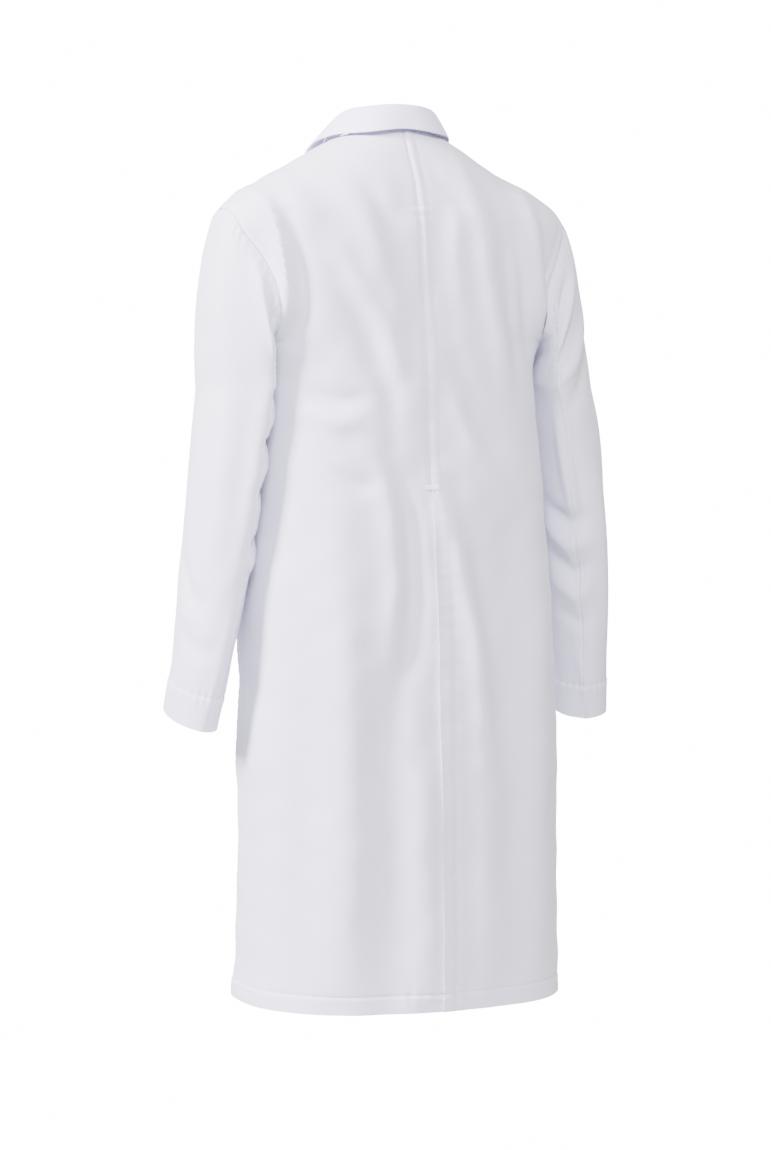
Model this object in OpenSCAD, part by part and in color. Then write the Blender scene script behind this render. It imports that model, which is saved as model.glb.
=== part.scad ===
// Knee-length lab coat: two-piece set-in sleeves, notched collar, snap front and a back vent.
// The coat hangs closed. +Z is up, the front faces -Y and the wearer's left is +X.
// The origin is on the middle plane, level with the nape seam and over the shoulder ridge.

/* [Body] */
// Length from the nape seam to the hem
body_length = 1006; // [960:1:1040]
// Shoulder tip to shoulder tip, straight across
shoulder_width = 414; // [406:1:422]
// Drop from the nape to the underarm point and the top snap
underarm_drop = 250; // [246:1:254]
// Half of the coat's width at the hem
hem_half_width = 194; // [188:1:200]
// Distance from the shoulder ridge back to the hem's centre back
hem_back_depth = 150; // [144:1:156]
// Distance from the shoulder ridge forward to the hem's centre front
hem_front_depth = 138; // [132:1:142]
// Thickness of one cloth panel, its seam allowances included
cloth = 2.2; // [1.8:0.1:2.4]
// Thickness of a turned hem, facing or label
lining = 1.8; // [1.2:0.1:1.8]

/* [Sleeves] */
// Drop from the nape to the cuff edge
cuff_drop = 680; // [665:1:700]
// Height of the cuff's turned hem
cuff_hem_height = 38; // [30:1:45]

/* [Fronts] */
// How far each front runs past the centre line
front_lap = 14; // [12:1:16]
// Drop at which the opening part of the fronts starts
skirt_drop = 404; // [400:1:408]
// Width of the front facing
facing_width = 55; // [45:1:60]
// Diameter of a snap cap
snap_cap_d = 12; // [10:0.5:14]

/* [Vent] */
// Drop from the nape to the top of the back vent
vent_drop = 418; // [414:1:426]
// Width of the vent flap at the hem
vent_flap_width = 70; // [60:1:75]
// Width of the underlay below the vent flap
underlay_width = 48; // [40:1:52]

/* [Pockets] */
// Drop to the mouth of the two lower pockets
pocket_drop = 560; // [550:1:570]
// Height of the two lower pockets
pocket_height = 200; // [180:1:210]
// Drop to the mouth of the chest pocket
chest_pocket_drop = 264; // [262:1:268]
// Height of the chest pocket
chest_pocket_height = 124; // [100:1:126]
// How far a pocket stands off the panel
pocket_depth = 9; // [8.5:0.1:9.5]

/* [Hidden] */

coat_white = [0.93, 0.93, 0.96];
inside_white = [0.88, 0.88, 0.92];
snap_white = [0.97, 0.97, 0.98];
tip_x = shoulder_width / 2;
tip_drop = 95;
neck_side_drop = 12;
neck_side_x = 68;
skirt_length = body_length - underarm_drop;

// Horizontal sections of the body: drop, half width, back depth, front depth, squareness.
SECTIONS = [
    [0, 46, 49, 35, 2.2],
    [neck_side_drop, neck_side_x, 60, 46, 2.2],
    [30, 102, 73, 59, 2.25],
    [60, 154, 89, 78, 2.3],
    [tip_drop, tip_x, 100, 94, 2.4],
    [130, tip_x + 8, 106, 106, 2.5],
    [185, 202, 110, 118, 2.7],
    [underarm_drop, 167, 113, 125, 3.0],
    [underarm_drop + 0.12 * skirt_length, 169, 119, 127, 2.8],
    [underarm_drop + 0.30 * skirt_length, 180, 129, 129, 2.55],
    [underarm_drop + 0.60 * skirt_length, 190, 142, 133, 2.45],
    [body_length, hem_half_width, hem_back_depth, hem_front_depth, 2.35]
];

// Armhole edges seen from the front: drop and distance from the middle plane.
ARMHOLE_BACK = [[tip_drop, tip_x], [122, 199], [155, 181], [185, 168], [225, 160], [underarm_drop, 167]];
ARMHOLE_FRONT = [[tip_drop, tip_x], [120, 192], [155, 175], [185, 162], [222, 158], [underarm_drop, 167]];

// Sleeve sections: drop, centre x, centre y, outer half width, inner half width, half depth.
SLEEVE = [
    [300, 198, -2, 41, 25, 84],
    [360, 207, 0, 39, 30, 77],
    [444, 217, -2, 37.5, 34, 71],
    [530, 228, -9, 33, 33, 64],
    [600, 235, -18, 29, 29, 59],
    [cuff_drop, 241, -36, 26, 26, 55]
];

// ---- curves -----------------------------------------------------------------

function mix(a, b, t) = a + (b - a) * t;

function hermite(p0, m0, p1, m1, t) =
    (2 * t * t * t - 3 * t * t + 1) * p0 + (t * t * t - 2 * t * t + t) * m0
    + (3 * t * t - 2 * t * t * t) * p1 + (t * t * t - t * t) * m1;

function table_slope(table, i, c) =
    let (a = max(i - 1, 0), b = min(i + 1, len(table) - 1))
    (table[b][c] - table[a][c]) / (table[b][0] - table[a][0]);

function table_row(table, x, i = 0) =
    i >= len(table) - 2 || x < table[i + 1][0] ? i : table_row(table, x, i + 1);

// Value of column c at x, on a smooth curve through the table's rows.
function from_table(table, x, c) =
    let (i = table_row(table, x), step = table[i + 1][0] - table[i][0])
    hermite(table[i][c], step * table_slope(table, i, c),
            table[i + 1][c], step * table_slope(table, i + 1, c), (x - table[i][0]) / step);

function spline(p, t) =
    let (n = len(p) - 1, i = min(floor(t * n), n - 1))
    hermite(p[i], (p[i + 1] - p[max(i - 1, 0)]) / (i > 0 ? 2 : 1),
            p[i + 1], (p[min(i + 2, n)] - p[i]) / (i < n - 1 ? 2 : 1), t * n - i);

function signed_power(x, e) = sign(x) * pow(abs(x), e);

// ---- body surface -----------------------------------------------------------
// q runs round the body: 0 is the centre back, 90 the wearer's left side, 180 the centre front.

function body_point(q, drop) =
    let (e = 2 / from_table(SECTIONS, drop, 4),
         depth = from_table(SECTIONS, drop, cos(q) > 0 ? 2 : 3))
    [from_table(SECTIONS, drop, 1) * signed_power(sin(q), e), depth * signed_power(cos(q), e), -drop];

function body_normal(q, drop) =
    let (round = body_point(q + 1.5, drop) - body_point(q - 1.5, drop),
         down = body_point(q, drop + 1.5) - body_point(q, drop - 1.5),
         n = cross(round, down))
    n / norm(n);

function body_at(q, drop, off) = body_point(q, drop) + off * body_normal(q, max(drop, 2));

// Angle from the centre line at which the body is x wide.
function q_at(x, drop) =
    let (w = from_table(SECTIONS, drop, 1))
    x >= w ? 90 : sign(x) * asin(pow(abs(x) / w, from_table(SECTIONS, drop, 4) / 2));

function q_armhole(table, drop) =
    drop <= tip_drop || drop >= underarm_drop ? 90 : q_at(from_table(table, drop, 1), drop);

// Edge of the V neck: the line on which the lapel rolls.
function roll_x(drop) =
    mix(front_lap, neck_side_x, pow((underarm_drop - drop) / (underarm_drop - neck_side_drop), 1.15));

function front_edge_q(drop) =
    drop < underarm_drop ? 180 - q_at(roll_x(drop), drop) : 180 + q_at(front_lap, drop);

// The hinge on which a front swings open.
hinge_q = 118;

function fold_q(drop) =
    drop <= vent_drop ? 0
    : q_at(vent_flap_width * (drop - vent_drop) / (body_length - vent_drop), drop);

// Over and under layers near the centre front; over is +1 for the upper front.
over_shift = 2.6;
under_shift = -6.4;

function lap_shift(q, over) =
    let (t = min(max((q - 146) / 26, 0), 1), ease = t * t * (3 - 2 * t))
    ease * (over > 0 ? over_shift : under_shift);

// ---- sleeve surface ---------------------------------------------------------
// phi runs round the sleeve: 0 is its outer line, 90 the back, 180 the underarm, 270 the front.

function armhole_point(phi) =
    let (drop = mix(tip_drop, underarm_drop, (1 - cos(phi)) / 2),
         back = sin(phi) >= 0,
         x = from_table(back ? ARMHOLE_BACK : ARMHOLE_FRONT, drop, 1),
         q = min(q_at(x, drop), 90))
    body_point(back ? q : 180 - q, drop);

// How strongly the back of the upper sleeve turns in towards the body.
back_tuck = 0.2;

function sleeve_ring(phi, drop) =
    let (c = [for (k = [1:5]) from_table(SLEEVE, drop, k)],
         low = (drop - SLEEVE[0][0]) / (cuff_drop - SLEEVE[0][0]),
         dx = (cos(phi) > 0 ? c[2] : c[3]) * cos(phi),
         dy = c[4] * sin(phi),
         tuck = back_tuck * (1 - low) * pow(max(dy, 0), 2) / c[4])
    [c[0] + dx - tuck, c[1] + dy, -drop + dx * mix(0.10, 0.13, low) - dy * 0.2 * low];

// t runs from 0 at the armhole, over 1 at the first sleeve section, to 2 at the cuff.
function sleeve_point(phi, t) =
    let (high = (1 + cos(phi)) / 2)
    t >= 1 ? sleeve_ring(phi, mix(SLEEVE[0][0], cuff_drop, t - 1))
    : hermite(armhole_point(phi), [mix(40, 80, high), 24 * sin(phi), -mix(6, 60, high)],
              sleeve_ring(phi, SLEEVE[0][0]), [mix(2, -15, high), 0, -mix(60, 200, high)], t);

function sleeve_at(phi, t, off) =
    let (p = sleeve_point(phi, t),
         round = sleeve_point(phi + 1.5, t) - sleeve_point(phi - 1.5, t),
         down = sleeve_point(phi, min(t + 0.01, 2)) - sleeve_point(phi, max(t - 0.01, 0.01)),
         n = cross(down, round))
    p + off * n / norm(n);

function sleeve_start(phi) = mix(0.12, 0.03, (1 + cos(phi)) / 2);

// ---- collar surface ---------------------------------------------------------
// t runs from 0 at the centre back to 1 at the collar's front end.

NECK_SEAM = [[0, 49, 0], [38, 38, -3], [65, 4, -11], [71, -34, -36], [65, -66, -70]];
ROLL_LINE = [[0, 47, 25], [34, 37, 23], [57, 2, 17], [64, -38, -12], [64, -76, -58]];
FALL_EDGE = [[0, 63, -4], [43, 56, -8], [75, 8, -10], [86, -44, -27], [80, -98, -86]];

// How far the stand keeps inside the neckline towards the front.
stand_inset = 10;
stand_end = 0.85;

function stand_at(t, v, off) =
    let (p = mix(spline(NECK_SEAM, t), spline(ROLL_LINE, t), v),
         out = [p[0], p[1] + 10, 0],
         k = min(2 * t, 1), inset = stand_inset * k * k * (3 - 2 * k))
    p + (off - inset) * out / norm(out);

function fall_at(t, v, off) =
    let (top = spline(ROLL_LINE, t), low = spline(FALL_EDGE, t),
         p = hermite(top, (low - top) * 0.5 + [0, 0, 14], low, (low - top) * 1.1 - [0, 0, 12], v),
         out = [p[0], p[1] + 10, 40])
    p + off * out / norm(out);

// ---- building blocks --------------------------------------------------------

// A closed shell between two offsets of a surface. f(u, v, side) gives a point; side 1 is
// the outer skin and side 0 the inner one. us and vs list the steps along the two directions.
module shell(f, us, vs) {
    nu = len(us);
    nv = len(vs);
    function at(k, i, j) = (k * nu + i) * nv + j;
    points = [for (k = [0, 1]) for (u = us) for (v = vs) f(u, v, k)];
    skin = [for (i = [0:nu - 2]) for (j = [0:nv - 2]) each [
        [at(1, i, j), at(1, i, j + 1), at(1, i + 1, j + 1)],
        [at(1, i, j), at(1, i + 1, j + 1), at(1, i + 1, j)],
        [at(0, i, j), at(0, i + 1, j + 1), at(0, i, j + 1)],
        [at(0, i, j), at(0, i + 1, j), at(0, i + 1, j + 1)]]];
    ends = [for (j = [0:nv - 2]) each [
        [at(0, 0, j), at(0, 0, j + 1), at(1, 0, j + 1)],
        [at(0, 0, j), at(1, 0, j + 1), at(1, 0, j)],
        [at(0, nu - 1, j), at(1, nu - 1, j + 1), at(0, nu - 1, j + 1)],
        [at(0, nu - 1, j), at(1, nu - 1, j), at(1, nu - 1, j + 1)]]];
    rims = [for (i = [0:nu - 2]) each [
        [at(0, i, 0), at(1, i, 0), at(1, i + 1, 0)],
        [at(0, i, 0), at(1, i + 1, 0), at(0, i + 1, 0)],
        [at(0, i, nv - 1), at(1, i + 1, nv - 1), at(1, i, nv - 1)],
        [at(0, i, nv - 1), at(0, i + 1, nv - 1), at(1, i + 1, nv - 1)]]];
    polyhedron(points, concat(skin, ends, rims), convexity = 8);
}

function steps(n) = [for (i = [0:n]) i / n];

// Offset of the inner (0) or outer (1) skin of a panel, and of a lining inside it.
lining_gap = 1;

function panel_off(side) = (side - 0.5) * cloth;
function lining_off(side) = -cloth / 2 - lining_gap - (1 - side) * lining;

module wearers_right() {
    mirror([1, 0, 0]) children();
}

// ---- back -------------------------------------------------------------------

UPPER_ROWS = [0, 22, 40, 65, tip_drop, 112, 135, 160, 185, 210, 232, underarm_drop];
LOWER_ROWS = [290, 340, vent_drop, 500, 600, 720, 860, body_length];
SEAM_Q = 0.15;

// Drop of a row; the first row is the neck seam.
function back_drop(row, q) = row == 0 ? neck_side_drop * pow(q / 90, 2) : row;

module back_half(from_q) {
    shell(function(u, row, side)
        let (d0 = max(row, neck_side_drop),
             q = mix(from_q(row), q_armhole(ARMHOLE_BACK, d0) - SEAM_Q, u),
             drop = back_drop(row, q))
        body_at(q, drop, panel_off(side)),
        steps(9), concat(UPPER_ROWS, LOWER_ROWS));
}

module left_back_panel() {
    color(coat_white) back_half(function(row) SEAM_Q);
}

fold_clearance = 1.2;

module right_back_panel() {
    color(coat_white) wearers_right()
        back_half(function(row) fold_q(row) + SEAM_Q + (row > vent_drop ? fold_clearance : 0));
}

module vent_panel(from_drop, to_drop, off) {
    color(coat_white) wearers_right()
        shell(function(u, v, side)
            let (drop = mix(from_drop, to_drop, v))
            body_at(mix(SEAM_Q, fold_q(drop), u), drop, off(side)),
            steps(3), steps(6));
}

module vent_flap() {
    vent_panel(vent_drop + 40, body_length, function(side) panel_off(side));
}

hem_height = 20;

module vent_hem() {
    vent_panel(body_length - hem_height, body_length - 0.5, function(side) lining_off(side));
}

underlay_shift = -cloth - lining - lining_gap - 1.2;

module vent_underlay() {
    color(inside_white) wearers_right()
        shell(function(u, v, side)
            let (drop = mix(vent_drop + 4, body_length - 4, v))
            body_at(mix(0, q_at(underlay_width, drop), u), drop, underlay_shift + panel_off(side)),
            steps(3), steps(7));
}

module vent_bar_tack() {
    color(snap_white) translate(body_at(0, vent_drop - 6, cloth / 2 + 1)) cube([14, 1.2, 3], center = true);
}

module back_hem(from_q) {
    color(inside_white)
        shell(function(u, v, side)
            let (drop = body_length - mix(hem_height, 0.5, v))
            body_at(mix(from_q, 89, u), drop, lining_off(side)),
            steps(8), [0, 1]);
}

module left_back_hem() {
    back_hem(1);
}

module right_back_hem() {
    wearers_right() back_hem(fold_q(body_length) + 4);
}

module back_neck_facing() {
    color(inside_white)
        shell(function(u, v, side)
            let (q = mix(-84, 84, u))
            body_at(q, mix(neck_side_drop * pow(q / 90, 2) + 3, 62, v), lining_off(side)),
            steps(14), steps(3));
}

// ---- fronts -----------------------------------------------------------------

chest_end = skirt_drop - 7;
FRONT_ROWS = [neck_side_drop + 2, 22, 40, 65, tip_drop, 112, 135, 160, 185, 210, 232, underarm_drop,
    290, 340, chest_end];

module front_chest(over) {
    color(coat_white)
        shell(function(u, row, side)
            let (side_q = 180 - q_armhole(ARMHOLE_FRONT, row) + SEAM_Q,
                 q = mix(front_edge_q(row), side_q, u),
                 high = min(max((underarm_drop - row) / 60, 0), 1))
            body_at(q, row, panel_off(side) + lap_shift(q, over) * (1 - high)),
            [for (i = [14:-1:0]) i / 14], FRONT_ROWS);
}

module left_front_chest() {
    front_chest(-1);
}

module right_front_chest() {
    wearers_right() front_chest(1);
}

module front_side() {
    color(coat_white)
        shell(function(u, v, side)
            let (q = mix(90 + SEAM_Q, hinge_q - 1.2, u))
            body_at(q, mix(chest_end + 0.3, body_length, v), panel_off(side)),
            steps(3), steps(7));
}

module left_front_side() {
    front_side();
}

module right_front_side() {
    wearers_right() front_side();
}

// A part of the opening front, from one distance off the centre line to another.
module skirt_part(over, from_q, to_q, from_drop, to_drop, off, columns, rows) {
    shell(function(u, v, side)
        let (drop = mix(from_drop, to_drop, v), q = mix(from_q(drop), to_q(drop), u))
        body_at(q, drop, off(side) + lap_shift(q, over)),
        steps(columns), steps(rows));
}

module front_skirt(over) {
    color(coat_white)
        skirt_part(over, function(d) hinge_q + 0.8, function(d) front_edge_q(d), skirt_drop, body_length,
                   function(side) panel_off(side), 9, 8);
}

module left_front_skirt() {
    front_skirt(-1);
}

module right_front_skirt() {
    wearers_right() front_skirt(1);
}

module facing(over, from_drop, to_drop, rows) {
    color(inside_white)
        skirt_part(over, function(d) 180 - q_at(facing_width, d), function(d) front_edge_q(d) - 0.5,
                   from_drop, to_drop, function(side) lining_off(side), 7, rows);
}

module left_chest_facing() {
    facing(-1, underarm_drop + 4, chest_end - 1, 3);
}

module right_chest_facing() {
    wearers_right() facing(1, underarm_drop + 4, chest_end - 1, 3);
}

module left_skirt_facing() {
    facing(-1, skirt_drop + 1, body_length - hem_height - 1, 8);
}

module right_skirt_facing() {
    wearers_right() facing(1, skirt_drop + 1, body_length - hem_height - 1, 8);
}

module skirt_hem(over) {
    color(inside_white)
        skirt_part(over, function(d) hinge_q + 3, function(d) front_edge_q(d) - 0.5,
                   body_length - hem_height, body_length - 0.5, function(side) lining_off(side), 7, 1);
}

module left_skirt_hem() {
    skirt_hem(-1);
}

module right_skirt_hem() {
    wearers_right() skirt_hem(1);
}

// ---- pockets ----------------------------------------------------------------

// A patch pocket: its sides and foot lie on the panel and its mouth stands open.
module patch_pocket(over, x0, x1, top, height) {
    color(coat_white)
        shell(function(u, v, side)
            let (drop = top + v * height,
                 q = 180 - q_at(mix(x1, x0, u), drop),
                 lift = min(1, min(u, 1 - u) / 0.12) * min(1, (1 - v) / 0.12))
            body_at(q, drop, cloth / 2 + 0.2 + pocket_depth * lift + side * lining + lap_shift(q, over)),
            [0, 0.06, 0.12, 0.3, 0.5, 0.7, 0.88, 0.94, 1], [0, 0.3, 0.6, 0.88, 0.94, 1]);
}

module chest_pocket() {
    patch_pocket(-1, 52, 142, chest_pocket_drop, chest_pocket_height);
}

module left_lower_pocket() {
    patch_pocket(-1, 42, 152, pocket_drop, pocket_height);
}

module right_lower_pocket() {
    wearers_right() patch_pocket(1, 42, 152, pocket_drop, pocket_height);
}

// ---- collar -----------------------------------------------------------------

collar_cloth = 2;

module collar_stand() {
    color(inside_white)
        shell(function(t, v, side)
            let (p = stand_at(abs(t), mix(0.10, 0.86, v), side * collar_cloth))
            [sign(t) * p[0], p[1], p[2]],
            [for (i = [8:-1:-8]) stand_end * i / 8], steps(2));
}

module collar_fall() {
    color(coat_white)
        shell(function(t, v, side)
            let (p = fall_at(abs(t), v, collar_cloth + 0.6 + side * collar_cloth))
            [sign(t) * p[0], p[1], p[2]],
            [for (i = [-10:10]) i / 10], steps(4));
}

// Lapel width across the chest at each drop, from the collar notch to the top snap.
LAPEL_ROWS = [104, 116, 135, 165, 200, 225, 244];

function lapel_width(drop) =
    drop < 116 ? mix(44, 70, (drop - 104) / 12) : 70 * pow((underarm_drop - drop) / 134, 0.9);

module lapel(over) {
    color(coat_white)
        shell(function(u, drop, side)
            let (x = roll_x(drop) + 2 + u * lapel_width(drop), q = 180 - q_at(x, drop))
            body_at(q, drop, cloth / 2 + 1.2 + side * cloth + (over > 0 ? 2.6 : 0) * (1 - u)),
            [for (i = [4:-1:0]) i / 4], LAPEL_ROWS);
}

module left_lapel() {
    lapel(-1);
}

module right_lapel() {
    wearers_right() lapel(1);
}

// ---- sleeves ----------------------------------------------------------------

back_seam_phi = 112;
front_seam_phi = 290;
SLEEVE_STEPS = [0, 0.3, 0.6, 1, 1.2, 1.4, 1.6, 1.8, 2];

module sleeve_part(from_phi, to_phi) {
    color(coat_white)
        shell(function(u, t, side)
            let (phi = mix(from_phi, to_phi, u))
            sleeve_at(phi, t < 1 ? mix(sleeve_start(phi), 1, t) : t, panel_off(side)),
            [for (i = [10:-1:0]) i / 10], SLEEVE_STEPS);
}

module upper_sleeve() {
    sleeve_part(front_seam_phi - 360 + 0.3, back_seam_phi - 0.3);
}

module under_sleeve() {
    sleeve_part(back_seam_phi + 0.3, front_seam_phi - 0.3);
}

module cuff_hem() {
    color(inside_white)
        shell(function(u, v, side)
            sleeve_at(mix(back_seam_phi + 1, back_seam_phi + 359, u),
                      2 - mix(cuff_hem_height, 1, v) / (cuff_drop - SLEEVE[0][0]), lining_off(side)),
            [for (i = [20:-1:0]) i / 20], [0, 1]);
}

module left_upper_sleeve() {
    upper_sleeve();
}

module left_under_sleeve() {
    under_sleeve();
}

module right_upper_sleeve() {
    wearers_right() upper_sleeve();
}

module right_under_sleeve() {
    wearers_right() under_sleeve();
}

module left_cuff_hem() {
    cuff_hem();
}

module right_cuff_hem() {
    wearers_right() cuff_hem();
}

// ---- snaps ------------------------------------------------------------------

CHEST_SNAPS = [262, 366];
SKIRT_SNAPS = [470, 574, 678, 782];

// A round piece of each snap: off is the distance of its inner face from the body surface.
module snap_row(drops, d, off, height) {
    color(snap_white) for (drop = drops)
        translate([0, body_point(180, drop)[1] - off, -drop])
            rotate([90, 0, 0]) cylinder(d = d, h = height, $fn = 32);
}

module snap_caps(drops) {
    snap_row(drops, snap_cap_d, over_shift + cloth / 2 + 0.4, 2);
}

stud_d = 10;
post_height = 1.2;
socket_height = 1.4;
socket_off = over_shift + lining_off(0) - 0.5 - socket_height;

module snap_sockets(drops) {
    color(snap_white) difference() {
        snap_row(drops, stud_d, socket_off, socket_height);
        snap_row(drops, 4, socket_off - 1, socket_height + 2);
    }
}

module snap_studs(drops) {
    snap_row(drops, stud_d, under_shift + cloth / 2 + 0.3, 1.4);
}

module snap_posts(drops) {
    snap_row(drops, 9, under_shift + lining_off(0) - 0.6 - post_height, post_height);
}

module chest_snap_caps() {
    snap_caps(CHEST_SNAPS);
}

module chest_snap_sockets() {
    snap_sockets(CHEST_SNAPS);
}

module chest_snap_studs() {
    snap_studs(CHEST_SNAPS);
}

module chest_snap_posts() {
    snap_posts(CHEST_SNAPS);
}

module skirt_snap_caps() {
    snap_caps(SKIRT_SNAPS);
}

module skirt_snap_sockets() {
    snap_sockets(SKIRT_SNAPS);
}

module skirt_snap_studs() {
    snap_studs(SKIRT_SNAPS);
}

module skirt_snap_posts() {
    snap_posts(SKIRT_SNAPS);
}

// ---- loop and label ---------------------------------------------------------

loop_width = 60;
loop_height = 34;
loop_tape = 6;

module hang_loop() {
    color(inside_white) translate([0, 42, -4 - loop_height / 2]) difference() {
        cube([loop_width, 1.6, loop_height], center = true);
        translate([0, 0, loop_tape / 2])
            cube([loop_width - 2 * loop_tape, 4, loop_height - 2 * loop_tape], center = true);
    }
}

module care_label() {
    color(inside_white) translate([hem_half_width - 18, -12, -690]) cube([0.8, 30, 55]);
}

left_back_panel();
right_back_panel();
vent_flap();
vent_underlay();
vent_bar_tack();
left_front_chest();
right_front_chest();
left_front_side();
right_front_side();
left_front_skirt();
right_front_skirt();
left_upper_sleeve();
left_under_sleeve();
right_upper_sleeve();
right_under_sleeve();
left_cuff_hem();
right_cuff_hem();
collar_stand();
collar_fall();
left_lapel();
right_lapel();
left_chest_facing();
right_chest_facing();
left_skirt_facing();
right_skirt_facing();
back_neck_facing();
chest_pocket();
left_lower_pocket();
right_lower_pocket();
left_back_hem();
right_back_hem();
vent_hem();
left_skirt_hem();
right_skirt_hem();
chest_snap_caps();
chest_snap_sockets();
chest_snap_studs();
chest_snap_posts();
skirt_snap_caps();
skirt_snap_sockets();
skirt_snap_studs();
skirt_snap_posts();
hang_loop();
care_label();
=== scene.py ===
"""A white lab coat, filled out as if worn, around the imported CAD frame.

Shapes are worked out in millimetres on two surfaces, the body and the sleeve, that follow the CAD
model's sections, and are turned into metres when a mesh is made. +Z is up, the front faces -Y and the
wearer's left is +X. "drop" is the distance below the nape seam.
"""

import math

import bpy
import numpy as np
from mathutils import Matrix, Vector


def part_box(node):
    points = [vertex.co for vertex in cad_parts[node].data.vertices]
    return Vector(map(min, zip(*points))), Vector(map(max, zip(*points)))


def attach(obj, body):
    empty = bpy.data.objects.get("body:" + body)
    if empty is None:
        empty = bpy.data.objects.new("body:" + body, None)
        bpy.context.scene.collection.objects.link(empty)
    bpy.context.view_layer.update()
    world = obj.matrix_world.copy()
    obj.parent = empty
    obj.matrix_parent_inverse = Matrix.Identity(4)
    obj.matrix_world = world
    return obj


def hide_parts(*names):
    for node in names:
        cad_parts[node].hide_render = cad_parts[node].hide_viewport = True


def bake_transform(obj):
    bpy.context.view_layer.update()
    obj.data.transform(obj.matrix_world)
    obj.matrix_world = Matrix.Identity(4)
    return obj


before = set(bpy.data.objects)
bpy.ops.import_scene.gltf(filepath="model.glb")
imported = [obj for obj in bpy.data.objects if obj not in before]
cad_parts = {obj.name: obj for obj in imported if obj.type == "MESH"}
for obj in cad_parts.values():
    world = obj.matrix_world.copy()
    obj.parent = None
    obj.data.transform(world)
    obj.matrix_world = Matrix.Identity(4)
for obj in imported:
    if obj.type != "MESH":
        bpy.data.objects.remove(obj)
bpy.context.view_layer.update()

MM = 0.001

# ---- driving dimensions, from the frame --------------------------------------------------------

back_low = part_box("left_back_panel")[0]
LENGTH = -back_low[2] / MM
TIP_X = 207.0
NECK_SIDE_X = 68.0
TIP_DROP = 95.0
NECK_SIDE_DROP = 12.0
UNDERARM = 250.0
SKIRT = LENGTH - UNDERARM
LAP = 14.0
VENT_DROP = 418.0
VENT_FLAP = 70.0
UNDERLAY = 48.0
HEM = 20.0
CUFF_HEM = 38.0
BACK_SEAM_PHI = 112.0
FRONT_SEAM_PHI = 290.0
CLOTH = 0.7

# Horizontal sections of the body: drop, half width, back depth, front depth, squareness.
SECTIONS = np.array([
    [0, 46, 49, 35, 2.2],
    [NECK_SIDE_DROP, NECK_SIDE_X, 60, 46, 2.2],
    [30, 102, 73, 59, 2.25],
    [60, 152, 89, 78, 2.3],
    [TIP_DROP, TIP_X, 100, 94, 2.4],
    [130, TIP_X + 8, 106, 106, 2.5],
    [185, 202, 110, 118, 2.7],
    [UNDERARM, 167, 113, 125, 3.0],
    [UNDERARM + 0.12 * SKIRT, 169, 119, 127, 2.8],
    [UNDERARM + 0.30 * SKIRT, 180, 129, 129, 2.55],
    [UNDERARM + 0.60 * SKIRT, 190, 142, 133, 2.45],
    [LENGTH, 194, 150, 138, 2.35],
])

# Armhole edges seen from the front: drop and distance from the middle plane.
ARMHOLE_BACK = np.array([[TIP_DROP, TIP_X], [122, 199], [155, 181], [185, 168], [225, 160], [UNDERARM, 167]])
ARMHOLE_FRONT = np.array([[TIP_DROP, TIP_X], [120, 192], [155, 175], [185, 162], [222, 158], [UNDERARM, 167]])

# Sleeve sections: drop, centre x, centre y, outer half width, inner half width, half depth.
SLEEVE = np.array([
    [300, 197, -2, 41, 25, 84],
    [360, 205, 0, 39, 30, 77],
    [444, 213, -2, 37.5, 34, 71],
    [530, 223, -9, 33, 33, 64],
    [600, 231, -18, 29, 29, 59],
    [680, 240, -36, 27, 27, 55],
])
CUFF_DROP = SLEEVE[-1, 0]


# ---- camera, light and stage ------------------------------------------------------------------

VIEW_TURN = math.radians(21)
VIEW_TILT = math.radians(3)
DISTANCE = 3.7
LOOK = np.array([-math.sin(VIEW_TURN) * math.cos(VIEW_TILT), -math.cos(VIEW_TURN) * math.cos(VIEW_TILT),
                 -math.sin(VIEW_TILT)])
RIGHT = np.array([-math.cos(VIEW_TURN), math.sin(VIEW_TURN), 0.0])
UP = np.cross(RIGHT, LOOK)
AIM = np.array([0.0, 0.0, -0.517]) - 0.0075 * RIGHT


def look_from(obj, place, target):
    obj.location = place
    obj.rotation_euler = Vector(target - place).to_track_quat("-Z", "Y").to_euler()


def add_camera():
    data = bpy.data.cameras.new("camera")
    data.lens = 99.0
    camera = bpy.data.objects.new("camera", data)
    bpy.context.scene.collection.objects.link(camera)
    look_from(camera, AIM - LOOK * DISTANCE, AIM)
    bpy.context.scene.camera = camera


def area_light(name, across, up, back, size, power, colour=(1, 1, 1)):
    """A soft square light, placed as seen from the camera and aimed at the coat's upper half."""
    data = bpy.data.lights.new(name, "AREA")
    data.size = size
    data.energy = power
    data.color = colour
    light = bpy.data.objects.new(name, data)
    bpy.context.scene.collection.objects.link(light)
    look_from(light, AIM + RIGHT * across + UP * up - LOOK * back, AIM + UP * 0.2)


def add_world():
    """Studio air: white behind the coat as the camera sees it, and grey elsewhere."""
    world = bpy.data.worlds.new("studio")
    bpy.context.scene.world = world
    world.use_nodes = True
    nodes, links = world.node_tree.nodes, world.node_tree.links
    place = nodes.new("ShaderNodeTexCoord")
    dot = nodes.new("ShaderNodeVectorMath")
    dot.operation = "DOT_PRODUCT"
    dot.inputs[1].default_value = LOOK
    span = nodes.new("ShaderNodeMapRange")
    span.interpolation_type = "SMOOTHSTEP"
    span.inputs["From Min"].default_value = 0.93
    span.inputs["From Max"].default_value = 0.974
    span.inputs["To Min"].default_value = WORLD_NEAR
    span.inputs["To Max"].default_value = WORLD_FAR
    links.new(place.outputs["Generated"], dot.inputs[0])
    links.new(dot.outputs["Value"], span.inputs["Value"])
    links.new(span.outputs["Result"], nodes["Background"].inputs["Strength"])
    nodes["Background"].inputs["Color"].default_value = (1, 1, 1, 1)


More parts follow.
